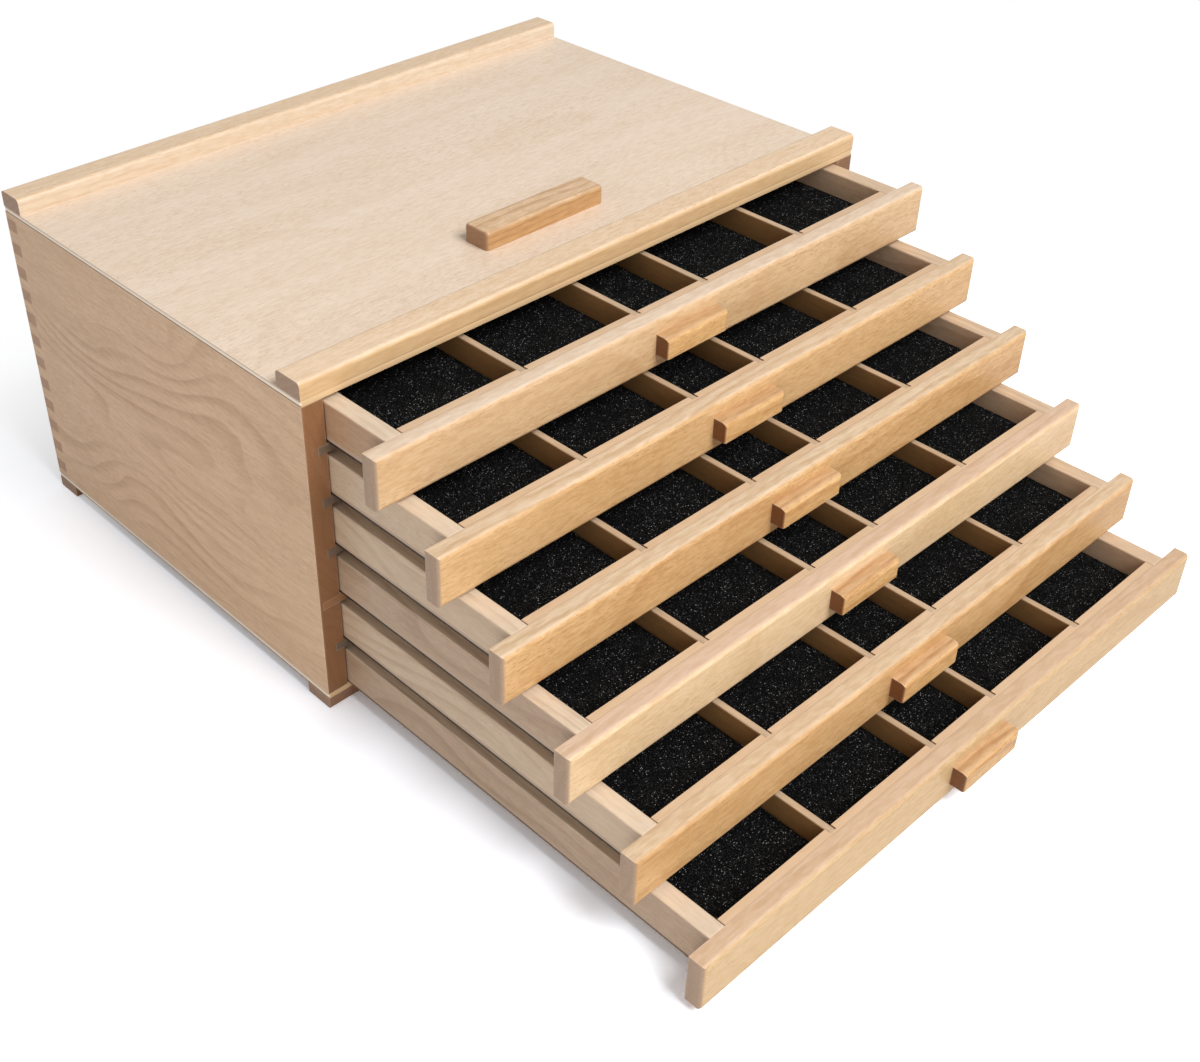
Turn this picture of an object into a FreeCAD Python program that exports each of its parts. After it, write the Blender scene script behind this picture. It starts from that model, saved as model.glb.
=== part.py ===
"""Six-drawer pencil box in beech, with lift-out dividers and foam-lined drawers.

The case is two solid sides finger-jointed to a solid back, with a thin plywood panel over the
top and one under the bottom, a mid shelf, and runner strips let into the sides.  Six equal
drawers slide out to the front, each with a wide overlay front and a bar handle.

Frame: origin on the table under the middle of the front foot, X along the width, +Y to the
back, +Z up, millimetres.  The drawers stand pulled out in a cascade, the top one least.
"""
import FreeCAD, Part
import os

Vector = FreeCAD.Vector
ACROSS = Vector(1, 0, 0)
INWARDS = Vector(0, 1, 0)
UPRIGHT = Vector(0, 0, 1)
SAME = 1e-6  # lengths nearer than this count as equal

# --- case -------------------------------------------------------------------------------------
case_width = 400.0
case_depth = 270.0
side_thickness = 12.0
back_thickness = 10.0
panel_thickness = 3.0
foot_height = 7.0
foot_depth = 18.0
rail_depth = 18.0
rail_height = 9.5
rail_round = 2.4
finger_count = 12
panel_corner_round = 1.0

# --- runners and mid shelf --------------------------------------------------------------------
runner_height = 5.0
runner_reach = 7.0
runner_housing = 5.0
runner_edge_round = 0.6
shelf_below_drawer = 2
shelf_ear_depth = 6.0
shelf_ear_margin = 1.6

# --- drawers ----------------------------------------------------------------------------------
drawer_count = 6
drawer_side_height = 19.0
drawer_side_thickness = 10.0
drawer_bottom_thickness = 3.0
inner_board_thickness = 4.5
front_thickness = 9.0
front_spacing = 2.0
front_round = 2.5
board_edge_round = 0.8
divider_thickness = 4.0
divider_drop = 0.3
notch_depth = 3.0
middle_compartment = 46.0
compartment_count = 5
foam_thickness = 6.0
first_opening = 43.0
lowest_drawer_hold = 13.5

# --- handles ----------------------------------------------------------------------------------
handle_length = 45.0
handle_reach = 8.0
handle_height = 11.5
handle_drop = 8.0
handle_top_round = 3.0
handle_corner_round = 1.6
top_handle_length = 86.0
top_handle_depth = 18.0
top_handle_height = 10.5
top_handle_round = 2.2
top_handle_corner_round = 2.8
top_handle_setback = 50.0

# --- clearances -------------------------------------------------------------------------------
seat_gap = 0.3
slide_gap = 1.0
headroom = 2.7
closing_gap = 0.3
back_gap = 1.0
notch_gap = 0.15
foam_gap = 0.4

# --- worked out from the sizes above ----------------------------------------------------------
case_left = -case_width / 2
case_front = -foot_depth / 2
case_back = case_front + case_depth
inner_left = case_left + side_thickness
inner_back = case_back - back_thickness
drawer_height = drawer_side_height + drawer_bottom_thickness
drawer_pitch = runner_height + seat_gap + drawer_height + headroom
front_height = drawer_pitch - front_spacing
side_height = drawer_count * drawer_pitch - runner_height
floor_top = foot_height + panel_thickness
side_top = floor_top + side_height
roof_top = side_top + panel_thickness
drawer_left = inner_left + slide_gap
drawer_length = inner_back - back_gap - case_front
opening_step = (drawer_length - lowest_drawer_hold - first_opening) / (drawer_count - 1)
hollow_left = drawer_left + drawer_side_thickness
divider_count = compartment_count - 1
clear_width = -2 * hollow_left - divider_count * divider_thickness
outer_compartment = (clear_width - middle_compartment) / (compartment_count - 1)


def block(x0, x1, y0, y1, z0, z1):
    """A rectangular board between two corners."""
    return Part.makeBox(x1 - x0, y1 - y0, z1 - z0, Vector(x0, y0, z0))


def runs_along(edge, axis):
    """True where a straight edge lies along the given unit axis."""
    if not isinstance(edge.Curve, (Part.Line, Part.LineSegment)):
        return False
    return abs(abs(edge.tangentAt(edge.FirstParameter).dot(axis)) - 1) < SAME


def lies_above(edge, z):
    """True where the whole edge is at height z or over it."""
    return edge.BoundBox.ZMin > z - SAME


def lies_before(edge, y):
    """True where the whole edge is at depth y or nearer the front."""
    return edge.BoundBox.YMax < y + SAME


def rounded(shape, radius, chosen):
    """The shape with each edge that passes the test rounded over."""
    return shape.makeFillet(radius, [edge for edge in shape.Edges if chosen(edge)])


def mirrored(shape):
    """The matching piece on the other side of the case."""
    return shape.mirror(Vector(0, 0, 0), ACROSS)


def prism(points, direction):
    """A solid swept from a closed outline of corner points."""
    outline = Part.makePolygon(points + points[:1])
    return Part.Face(outline).extrude(direction)


def drawer_underside(level):
    """Height of a drawer's underside; level 0 is the lowest drawer."""
    return floor_top + seat_gap + level * drawer_pitch


def drawer_opening(level):
    """How far a drawer stands pulled out: the lower the drawer, the further."""
    return first_opening + (drawer_count - 1 - level) * opening_step


def runner_top(level):
    """Top face of the strips, or of the shelf, that carry a drawer."""
    return drawer_underside(level) - seat_gap


# --- case pieces ------------------------------------------------------------------------------

def finger_heights():
    """Lower ends of the back panel's fingers: equal fingers and gaps, half a finger at each end."""
    finger = side_height / (2 * finger_count)
    return [floor_top + finger / 2 + 2 * finger * i for i in range(finger_count)], finger


def back_panel():
    """The back board, with a row of fingers at each end that reach through the sides."""
    starts, finger = finger_heights()
    right = -inner_left
    edge = []
    for start in starts:
        edge.append((right, start))
        edge.append((right + side_thickness, start))
        edge.append((right + side_thickness, start + finger))
        edge.append((right, start + finger))
    outline = [(right, floor_top)] + edge + [(right, side_top)]
    outline += [(-x, z) for x, z in reversed(outline)]
    points = [Vector(x, inner_back, z) for x, z in outline]
    return prism(points, INWARDS * back_thickness)


def left_side():
    """A solid side: sockets for the back's fingers, grooves for the runners, housing for the shelf."""
    starts, finger = finger_heights()
    outline = [(case_front, floor_top), (case_back, floor_top)]
    for start in starts:
        outline.append((case_back, start))
        outline.append((inner_back, start))
        outline.append((inner_back, start + finger))
        outline.append((case_back, start + finger))
    outline += [(case_back, side_top), (case_front, side_top)]
    points = [Vector(case_left, y, z) for y, z in outline]
    side = prism(points, ACROSS * side_thickness)
    for level in range(1, drawer_count):
        top = runner_top(level)
        bottom = top - runner_height
        side = side.cut(block(inner_left - runner_housing, inner_left, case_front, inner_back, bottom, top))
    return side.cut(shelf_ear())


def shelf_ear():
    """The part of the shelf's front that laps across the left side's front edge."""
    top = runner_top(shelf_below_drawer)
    ear_left = case_left + shelf_ear_margin
    return block(ear_left, inner_left, case_front, case_front + shelf_ear_depth, top - runner_height, top)


def mid_shelf():
    """The full shelf that takes the runners' place under one drawer and ties the sides together."""
    top = runner_top(shelf_below_drawer)
    reach = inner_left - runner_housing
    board = block(reach, -reach, case_front, inner_back, top - runner_height, top)
    ear = shelf_ear()
    return board.fuse([ear, mirrored(ear)]).removeSplitter()


def runners():
    """Pairs of hardwood strips in the side grooves, one pair under each drawer that needs one."""
    strips = []
    for level in range(1, drawer_count):
        if level == shelf_below_drawer:
            continue
        top = runner_top(level)
        x0 = inner_left - runner_housing
        x1 = inner_left + runner_reach
        strip = block(x0, x1, case_front, inner_back, top - runner_height, top)
        strip = rounded(strip, runner_edge_round,
                        lambda edge: runs_along(edge, INWARDS) and edge.BoundBox.XMin > x1 - SAME)
        strips += [strip, mirrored(strip)]
    return Part.makeCompound(strips)


def panel(z0):
    """A thin plywood panel as wide and deep as the case."""
    board = block(case_left, -case_left, case_front, case_back, z0, z0 + panel_thickness)
    return rounded(board, panel_corner_round, lambda edge: runs_along(edge, UPRIGHT))


def top_rail(y0):
    """A batten on the top panel, with both long top edges rounded over."""
    top = roof_top + rail_height
    bar = block(case_left, -case_left, y0, y0 + rail_depth, roof_top, top)
    return rounded(bar, rail_round, lambda edge: runs_along(edge, ACROSS) and lies_above(edge, top))


def feet():
    """Front and rear battens under the case, rounded along their lower edges."""
    battens = []
    for y0 in (case_front, case_back - foot_depth):
        bar = block(case_left, -case_left, y0, y0 + foot_depth, 0, foot_height)
        bar = rounded(bar, board_edge_round,
                      lambda edge: runs_along(edge, ACROSS) and edge.BoundBox.ZMax < SAME)
        battens.append(bar)
    return Part.makeCompound(battens)


def top_handle():
    """The bar on the top panel: rounded in plan at its corners, then rounded over all round the top."""
    y0 = case_front + top_handle_setback
    half = top_handle_length / 2
    top = roof_top + top_handle_height
    bar = block(-half, half, y0, y0 + top_handle_depth, roof_top, top)
    bar = rounded(bar, top_handle_corner_round, lambda edge: runs_along(edge, UPRIGHT))
    return rounded(bar, top_handle_round, lambda edge: lies_above(edge, top))


# --- drawer pieces, each built where a closed drawer holds it ----------------------------------

def drawer_front(level):
    """The overlay front, as wide as the case, with all four edges of its face rounded over."""
    top = drawer_underside(level) + drawer_height
    y1 = case_front - closing_gap
    y0 = y1 - front_thickness
    board = block(case_left, -case_left, y0, y1, top - front_height, top)
    return rounded(board, front_round, lambda edge: lies_before(edge, y0))


def drawer_handle(level):
    """The bar handle: a flat back, a rounded top edge in front and its front corners eased."""
    half = handle_length / 2
    y1 = case_front - closing_gap - front_thickness
    y0 = y1 - handle_reach
    top = drawer_underside(level) + drawer_height - handle_drop
    bottom = top - handle_height
    bar = block(-half, half, y0, y1, bottom, top)
    bar = rounded(bar, handle_top_round, lambda edge: lies_before(edge, y0) and lies_above(edge, top))
    plan = block(-half, half, y0, y1, bottom, top)
    plan = rounded(plan, handle_corner_round,
                   lambda edge: runs_along(edge, UPRIGHT) and lies_before(edge, y0))
    return bar.common(plan)


def drawer_side(level):
    """The left side board of a drawer, its long top edges eased."""
    z0 = drawer_underside(level) + drawer_bottom_thickness
    z1 = z0 + drawer_side_height
    y1 = case_front - closing_gap
    board = block(drawer_left, hollow_left, y1, case_front + drawer_length, z0, z1)
    return rounded(board, board_edge_round, lambda edge: runs_along(edge, INWARDS) and lies_above(edge, z1))


def divider_places():
    """Left face of each divider: two equal compartments, the narrow one, two equal again."""
    step = outer_compartment + divider_thickness
    places = [hollow_left + outer_compartment, hollow_left + step + outer_compartment]
    return places + [-x - divider_thickness for x in reversed(places)]


def end_boards(level):
    """The inner front and back boards, slotted from the top to take the divider ends."""
    z0 = drawer_underside(level) + drawer_bottom_thickness
    z1 = z0 + drawer_side_height
    y_front = case_front - closing_gap
    y_back = case_front + drawer_length
    front = block(hollow_left, -hollow_left, y_front, y_front + inner_board_thickness, z0, z1)
    back = block(hollow_left, -hollow_left, y_back - inner_board_thickness, y_back, z0, z1)
    boards = []
    for board in (front, back):
        for x in divider_places():
            board = board.cut(notch(x, z0, z1))
        boards.append(board)
    return Part.makeCompound(boards)


def notch(x, z0, z1):
    """The slot for one divider: one long cutter that reaches into both end boards."""
    y0 = case_front - closing_gap + inner_board_thickness - notch_depth
    y1 = case_front + drawer_length - inner_board_thickness + notch_depth
    return block(x - notch_gap, x + divider_thickness + notch_gap, y0, y1, z0, z1)


def dividers(level):
    """Four thin boards that drop into the slots and stand on the drawer's bottom."""
    z0 = drawer_underside(level) + drawer_bottom_thickness
    z1 = z0 + drawer_side_height - divider_drop
    y0 = case_front - closing_gap + inner_board_thickness - notch_depth + notch_gap
    y1 = case_front + drawer_length - inner_board_thickness + notch_depth - notch_gap
    boards = []
    for x in divider_places():
        board = block(x, x + divider_thickness, y0, y1, z0, z1)
        boards.append(rounded(board, board_edge_round,
                              lambda edge: runs_along(edge, INWARDS) and lies_above(edge, z1)))
    return Part.makeCompound(boards)


def drawer_bottom(level):
    """The thin plywood bottom under the sides and end boards; it slides on the runners."""
    z0 = drawer_underside(level)
    y0 = case_front - closing_gap
    return block(drawer_left, -drawer_left, y0, case_front + drawer_length, z0, z0 + drawer_bottom_thickness)


def compartment_walls():
    """Left and right wall of every compartment, from the leftmost on."""
    places = divider_places()
    lefts = [hollow_left] + [x + divider_thickness for x in places]
    rights = places + [-hollow_left]
    return list(zip(lefts, rights))


def foam_pads(level):
    """One loose pad of foam on the bottom of each compartment."""
    z0 = drawer_underside(level) + drawer_bottom_thickness + seat_gap
    y0 = case_front - closing_gap + inner_board_thickness + foam_gap
    y1 = case_front + drawer_length - inner_board_thickness - foam_gap
    pads = [block(x0 + foam_gap, x1 - foam_gap, y0, y1, z0, z0 + foam_thickness)
            for x0, x1 in compartment_walls()]
    return Part.makeCompound(pads)


def drawer_pieces(level):
    """Every piece of one drawer, in its closed place."""
    left = drawer_side(level)
    return {
        "front": drawer_front(level),
        "handle": drawer_handle(level),
        "left_side": left,
        "right_side": mirrored(left),
        "end_boards": end_boards(level),
        "bottom": drawer_bottom(level),
        "dividers": dividers(level),
        "foam_pads": foam_pads(level),
    }


def case_pieces():
    """Every piece of the case."""
    left = left_side()
    return {
        "left_side": left,
        "right_side": mirrored(left),
        "back_panel": back_panel(),
        "bottom_panel": panel(foot_height),
        "top_panel": panel(side_top),
        "mid_shelf": mid_shelf(),
        "runners": runners(),
        "front_top_rail": top_rail(case_front),
        "rear_top_rail": top_rail(case_back - rail_depth),
        "top_handle": top_handle(),
        "feet": feet(),
    }


def main():
    """Write every piece to parts/, each drawer drawn out to its place in the cascade."""
    os.makedirs("parts", exist_ok=True)
    for name, shape in case_pieces().items():
        shape.exportStep(f"parts/{name}.step")
    for level in range(drawer_count):
        number = drawer_count - level
        for name, shape in drawer_pieces(level).items():
            pulled = shape.translated(Vector(0, -drawer_opening(level), 0))
            pulled.exportStep(f"parts/drawer_{number}_{name}.step")


main()
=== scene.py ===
"""Finishes, foam pads, floor, lamps and camera for a six-drawer beech pencil box.

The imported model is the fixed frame: every board of the case and of the drawers stays where it
is and gets its own lacquered beech or plywood finish, with the grain running the way that board
was cut.  The loose foam pads are soft pieces of their own, one to a compartment.
"""

import logging
import math
from dataclasses import dataclass, replace
from enum import Enum

import bpy
import numpy as np
from mathutils import Matrix, Vector


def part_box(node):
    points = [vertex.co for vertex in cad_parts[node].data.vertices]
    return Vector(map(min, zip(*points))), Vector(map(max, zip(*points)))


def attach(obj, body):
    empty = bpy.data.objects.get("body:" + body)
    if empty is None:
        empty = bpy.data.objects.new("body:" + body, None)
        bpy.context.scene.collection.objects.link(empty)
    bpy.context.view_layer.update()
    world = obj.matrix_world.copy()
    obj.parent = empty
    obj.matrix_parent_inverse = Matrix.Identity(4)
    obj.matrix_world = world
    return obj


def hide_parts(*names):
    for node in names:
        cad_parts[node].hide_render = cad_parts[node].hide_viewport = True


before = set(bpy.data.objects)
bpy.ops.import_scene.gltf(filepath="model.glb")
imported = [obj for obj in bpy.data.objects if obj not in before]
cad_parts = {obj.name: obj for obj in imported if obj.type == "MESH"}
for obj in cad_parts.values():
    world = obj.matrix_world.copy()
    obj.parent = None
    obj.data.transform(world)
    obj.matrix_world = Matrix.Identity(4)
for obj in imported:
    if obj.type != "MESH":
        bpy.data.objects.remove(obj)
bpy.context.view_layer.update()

logging.basicConfig(level=logging.INFO, format="%(message)s")
log = logging.getLogger("pencil_box")

Colour = tuple[float, float, float]
Triple = tuple[float, float, float]
Span = tuple[float, float]
Socket = bpy.types.NodeSocket
MILLIMETRE = 0.001


class Axis(Enum):
    """A direction of the case: across its width, into its depth, or upright."""

    WIDTH = 0
    DEPTH = 1
    HEIGHT = 2


def linear(red: int, green: int, blue: int) -> Colour:
    """Turn an 8-bit display colour into the linear colour that shaders mix.

    Args:
        red: Red, 0 to 255.
        green: Green, 0 to 255.
        blue: Blue, 0 to 255.

    Returns:
        The same colour with linear channels from 0 to 1.
    """
    shares = (channel / 255 for channel in (red, green, blue))
    return tuple(s / 12.92 if s <= 0.04045 else ((s + 0.055) / 1.055) ** 2.4 for s in shares)


# --- node trees ---------------------------------------------------------------------------------

class Graph:
    """A node tree, with short ways to add its nodes and wire them."""

    def __init__(self, tree: bpy.types.NodeTree) -> None:
        """Keep the tree to build in."""
        self.tree = tree

    def add(self, kind: str, **settings: object) -> bpy.types.Node:
        """Add a node and set its properties.

        Args:
            kind: The node's type, without its ShaderNode prefix.
            **settings: Properties of the node by name.

        Returns:
            The new node.
        """
        prefix = "" if kind.startswith("NodeGroup") else "ShaderNode"
        node = self.tree.nodes.new(prefix + kind)
        for name, value in settings.items():
            setattr(node, name, value)
        return node

    def feed(self, socket: Socket, value: object) -> None:
        """Link a socket to the input, or set the input to a constant.

        Args:
            socket: The input to feed.
            value: Another node's output, a number, a colour or a vector.
        """
        if isinstance(value, bpy.types.NodeSocket):
            self.tree.links.new(value, socket)
        elif socket.type == "RGBA" and len(value) == 3:
            socket.default_value = (*value, 1.0)
        else:
            socket.default_value = value

    def feed_in_order(self, node: bpy.types.Node, values: tuple) -> None:
        """Feed a node's first inputs, one value to each."""
        for socket, value in zip(node.inputs, values):
            self.feed(socket, value)

    def math(self, operation: str, *values: object, clamp: bool = False) -> Socket:
        """Work out one number from others, such as their product.

        Args:
            operation: The Math node's operation.
            *values: Its numbers.
            clamp: Whether the result is kept between 0 and 1.

        Returns:
            The result.
        """
        node = self.add("Math", operation=operation, use_clamp=clamp)
        self.feed_in_order(node, values)
        return node.outputs[0]

    def vector(self, operation: str, *values: object) -> Socket:
        """Work out one vector from others, such as their sum.

        Args:
            operation: The Vector Math node's operation.
            *values: Its vectors.

        Returns:
            The result.
        """
        node = self.add("VectorMath", operation=operation)
        self.feed_in_order(node, values)
        return node.outputs[0]

    def split(self, vector: Socket) -> list[Socket]:
        """Take a vector apart into its three numbers.

        Args:
            vector: The vector.

        Returns:
            Its X, Y and Z.
        """
        node = self.add("SeparateXYZ")
        self.feed(node.inputs[0], vector)
        return list(node.outputs)

    def join(self, *numbers: object) -> Socket:
        """Make a vector of three numbers.

        Args:
            *numbers: The vector's X, Y and Z.

        Returns:
            The vector.
        """
        node = self.add("CombineXYZ")
        self.feed_in_order(node, numbers)
        return node.outputs[0]

    def ease(self, value: Socket, low: object, high: object, start: float = 0.0, end: float = 1.0) -> Socket:
        """Carry a number smoothly from start to end as it goes from low to high.

        Args:
            value: The number to read.
            low: Where the change begins.
            high: Where the change is over.
            start: The result at and below low.
            end: The result at and above high.

        Returns:
            The eased number.
        """
        node = self.add("MapRange", interpolation_type="SMOOTHSTEP")
        self.feed_in_order(node, (value, low, high, start, end))
        return node.outputs[0]

    def noise(self, place: Socket, per_metre: Triple, detail: float = 2.0) -> Socket:
        """Read smooth noise of about 0 to 1 whose grains have a given size along each axis.

        Args:
            place: The point, in metres.
            per_metre: Grains to the metre along each axis.
            detail: How many finer layers are added.

        Returns:
            The noise at the point.
        """
        node = self.add("TexNoise")
        self.feed(node.inputs["Vector"], self.vector("MULTIPLY", place, per_metre))
        self.feed(node.inputs["Scale"], 1.0)
        self.feed(node.inputs["Detail"], detail)
        return node.outputs[0]

    def drift(self, place: Socket, per_metre: Triple, detail: float = 2.0) -> Socket:
        """Read the same noise less its mean, so that it is about -0.5 to 0.5.

        Args:
            place: The point, in metres.
            per_metre: Grains to the metre along each axis.
            detail: How many finer layers are added.

        Returns:
            The noise at the point.
        """
        return self.math("SUBTRACT", self.noise(place, per_metre, detail), 0.5)

    def blend(self, share: object, first: object, second: object, mode: str = "MIX") -> Socket:
        """Mix two colours.

        Args:
            share: How much of the second colour shows, 0 to 1.
            first: The colour at 0.
            second: The colour at 1.
            mode: The mix's blend type.

        Returns:
            The mixed colour.
        """
        node = self.add("Mix", data_type="RGBA", blend_type=mode)
        colours = [socket for socket in node.inputs if socket.type == "RGBA"]
        self.feed(node.inputs["Factor"], share)
        self.feed(colours[0], first)
        self.feed(colours[1], second)
        return next(socket for socket in node.outputs if socket.type == "RGBA")

    def bump(self, height: Socket, strength: float, distance: float) -> Socket:
        """Turn a height over the surface into a bent normal.

        Args:
            height: The height.
            strength: How much of the bump shows, 0 to 1.
            distance: How high a height of 1 stands, in metres.

        Returns:
            The normal.
        """
        node = self.add("Bump")
        self.feed(node.inputs["Strength"], strength)
        self.feed(node.inputs["Distance"], distance)
        self.feed(node.inputs["Height"], height)
        return node.outputs[0]

    def use(self, group: bpy.types.NodeTree, **values: object) -> bpy.types.Node:
        """Place a group and feed its inputs.

        Args:
            group: The group to place.
            **values: Its inputs by name, with _ for a space.

        Returns:
            The group's node.
        """
        node = self.add("Group", node_tree=group)
        for name, value in values.items():
            self.feed(node.inputs[name.replace("_", " ")], value)
        return node


def new_group(name: str, inputs: dict[str, object], outputs: dict[str, str]) -> tuple[Graph, dict, dict]:
    """Start a shader node group.

    Args:
        name: The group's name.
        inputs: Its inputs' defaults by name: a number, a vector as a tuple or a colour as a list.
        outputs: Its outputs' kinds by name, Float or Color.

    Returns:
        The group's graph, its input sockets and its output sockets, by name.
    """
    tree = bpy.data.node_groups.new(name, "ShaderNodeTree")
    for label, default in inputs.items():
        kind = {float: "Float", tuple: "Vector", list: "Color"}[type(default)]
        socket = tree.interface.new_socket(name=label, in_out="INPUT", socket_type=f"NodeSocket{kind}")
        socket.default_value = (*default, 1.0) if kind == "Color" else default
    for label, kind in outputs.items():
        tree.interface.new_socket(name=label, in_out="OUTPUT", socket_type=f"NodeSocket{kind}")
    graph = Graph(tree)
    given = graph.add("NodeGroupInput").outputs
    asked = graph.add("NodeGroupOutput").inputs
    return graph, {label: given[label] for label in inputs}, {label: asked[label] for label in outputs}


# --- grain --------------------------------------------------------------------------------------

@dataclass(frozen=True)
class Grains:
    """Noise whose grains are drawn out along the board, and how a mark sets in with it.

    The mark is at its least where the noise is below the span, and full where it is above.
    """

    per_metre: Triple
    span: Span
    detail: float = 1.0
    least: float = 0.0


class Mark(Enum):
    """The marks that make up the grain of beech."""

    GROWTH = Grains((4.0, 20.0, 20.0), span=(0.35, 0.65), least=0.3)
    STREAK = Grains((5.0, 70.0, 70.0), span=(0.3, 0.7), detail=3.0)
    FIBRE = Grains((60.0, 1100.0, 1100.0), span=(0.3, 0.7), detail=2.0)
    RIPPLE = Grains((110.0, 520.0, 520.0), span=(0.38, 0.64))
    DASH = Grains((170.0, 1000.0, 1000.0), span=(0.5, 0.72))
    FLECK = Grains((330.0, 1700.0, 1700.0), span=(0.56, 0.74))
    PATCH = Grains((7.0, 45.0, 45.0), span=(0.3, 0.7), least=0.45)
    PORE = Grains((900.0, 1100.0, 1100.0), span=(0.4, 0.68), detail=2.0)


class BeechGrain:
    """The node group for lacquered beech.

    Growth rings are the levels of depth + tilt * across + swirl * noise, one ring every ring
    width, so a flat face shows them as waves and a board's end as lines.  Fibres and the short
    dark flecks of beech are noise drawn out along the grain.
    """

    SEED_STEP: Triple = (3.1, 1.7, 2.3)
    SWIRLS_PER_METRE: Triple = (6.0, 14.0, 14.0)
    WOBBLES_PER_METRE: Triple = (16.0, 55.0, 55.0)
    WOBBLE_SHARE: float = 0.05
    LATE_WOOD_GROWS: Span = (0.2, 0.88)
    LATE_WOOD_STOPS: Span = (0.86, 1.0)
    STREAK_SHARE: float = 0.22
    RIPPLE_SHARE: float = 0.36
    FIBRE_SHARE: float = 0.14
    DASH_SHARE: float = 0.6
    FLECKS_LOST_ON_EDGES: float = 0.7
    FLECK_DEPTH: float = 0.6
    END_RING_GROWS: Span = (0.3, 0.95)
    END_RING_SHARE: float = 0.28
    END_PORE_SHARE: float = 0.35
    END_DEPTH: float = 0.45
    PORE_BROWN: Colour = (0.03, 0.012, 0.004)
    ROUGHNESS: float = 0.44
    FIBRE_ROUGHNESS: float = 0.08
    END_ROUGHNESS: float = 0.14
    FIBRE_HEIGHT: float = 0.35
    FLECK_SINK: float = 0.9
    PORE_SINK: float = 0.8

    def __init__(self) -> None:
        """Start the group, and step to the piece of wood that the seed picks."""
        self.graph, self.given, self.asked = new_group(
            "beech grain",
            {"Place": (0.0, 0.0, 0.0), "Seed": 0.0, "Pale": [0.8, 0.6, 0.4], "Late": [0.6, 0.4, 0.25],
             "Edge": [0.8, 0.6, 0.4], "End": [0.4, 0.25, 0.15], "Ring Width": 0.008, "Tilt": 0.1,
             "Swirl": 0.02, "Figure": 0.5, "Flecks": 0.5, "Edge Share": 0.0, "End Share": 0.0},
            {"Color": "Color", "Roughness": "Float", "Height": "Float"})
        offset = self.graph.vector("SCALE", self.SEED_STEP)
        self.graph.feed(offset.node.inputs["Scale"], self.given["Seed"])
        self.place = self.graph.vector("ADD", self.given["Place"], offset)

    def mark(self, kind: Mark) -> Socket:
        """Draw one kind of mark.

        Args:
            kind: The mark.

        Returns:
            How much of it shows at each point, 0 to 1.
        """
        grains = kind.value
        noise = self.graph.noise(self.place, grains.per_metre, grains.detail)
        return self.graph.ease(noise, *grains.span, grains.least, 1.0)

    def ring(self) -> Socket:
        """Find how far across its growth ring each point lies.

        Returns:
            The share of the ring's width, from 0 to 1.
        """
        graph, given = self.graph, self.given
        _, across, depth = graph.split(self.place)
        swirl = graph.drift(self.place, self.SWIRLS_PER_METRE, detail=1.0)
        wobble = graph.drift(self.place, self.WOBBLES_PER_METRE, detail=1.0)
        wobble_size = graph.math("MULTIPLY", given["Swirl"], self.WOBBLE_SHARE)
        level = graph.math("MULTIPLY_ADD", swirl, given["Swirl"], depth)
        level = graph.math("MULTIPLY_ADD", across, given["Tilt"], level)
        level = graph.math("MULTIPLY_ADD", wobble, wobble_size, level)
        return graph.math("FRACT", graph.math("DIVIDE", level, given["Ring Width"]))

    def late_wood(self, ring: Socket) -> Socket:
        """Darken each ring slowly towards its end, where the next one starts pale at once.

        Args:
            ring: The share of the ring's width.

        Returns:
            How much of the late wood's colour shows, 0 to 1.
        """
        graph = self.graph
        grown = graph.ease(ring, *self.LATE_WOOD_GROWS)
        late = graph.math("MULTIPLY", grown, graph.ease(ring, *self.LATE_WOOD_STOPS, 1.0, 0.0))
        late = graph.math("MULTIPLY", late, self.mark(Mark.GROWTH))
        return graph.math("MULTIPLY", late, self.given["Figure"])

    def flecks(self) -> Socket:
        """Scatter flecks and fainter dashes in patches, fewer on the board's long edges.

        Returns:
            How much of the flecks' colour shows, 0 to 1.
        """
        graph, given = self.graph, self.given
        dashes = graph.math("MULTIPLY", self.mark(Mark.DASH), self.DASH_SHARE)
        marks = graph.math("MAXIMUM", self.mark(Mark.FLECK), dashes)
        kept = graph.math("MULTIPLY_ADD", given["Edge Share"], -self.FLECKS_LOST_ON_EDGES, 1.0)
        strength = graph.math("MULTIPLY", kept, given["Flecks"])
        return graph.math("MULTIPLY", graph.math("MULTIPLY", marks, self.mark(Mark.PATCH)), strength)

    def face_colour(self, ring: Socket, fibre: Socket, fleck: Socket) -> Socket:
        """Colour the wood on the board's faces and long edges.

        The late wood's colour is kept as a share of the pale wood's, which then darkens
        whichever tone the face or the edge has.

        Args:
            ring: The share of the ring's width.
            fibre: How much of the fibres shows.
            fleck: How much of the flecks shows.

        Returns:
            The colour.
        """
        graph, given = self.graph, self.given
        shade = graph.blend(1.0, given["Late"], given["Pale"], "DIVIDE")
        tone = graph.blend(given["Edge Share"], given["Pale"], given["Edge"])
        streaks = graph.math("MULTIPLY", self.mark(Mark.STREAK), self.STREAK_SHARE)
        grown = graph.math("MAXIMUM", self.late_wood(ring), streaks)
        ripples = graph.math("MULTIPLY", self.mark(Mark.RIPPLE), given["Flecks"])
        grown = graph.math("MULTIPLY_ADD", ripples, self.RIPPLE_SHARE, grown)
        grown = graph.math("MULTIPLY_ADD", fibre, self.FIBRE_SHARE, grown, clamp=True)
        colour = graph.blend(grown, tone, graph.blend(1.0, tone, shade, "MULTIPLY"))
        dark = graph.blend(self.FLECK_DEPTH, shade, graph.blend(1.0, shade, shade, "MULTIPLY"))
        return graph.blend(fleck, colour, graph.blend(1.0, dark, tone, "MULTIPLY"))

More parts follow.
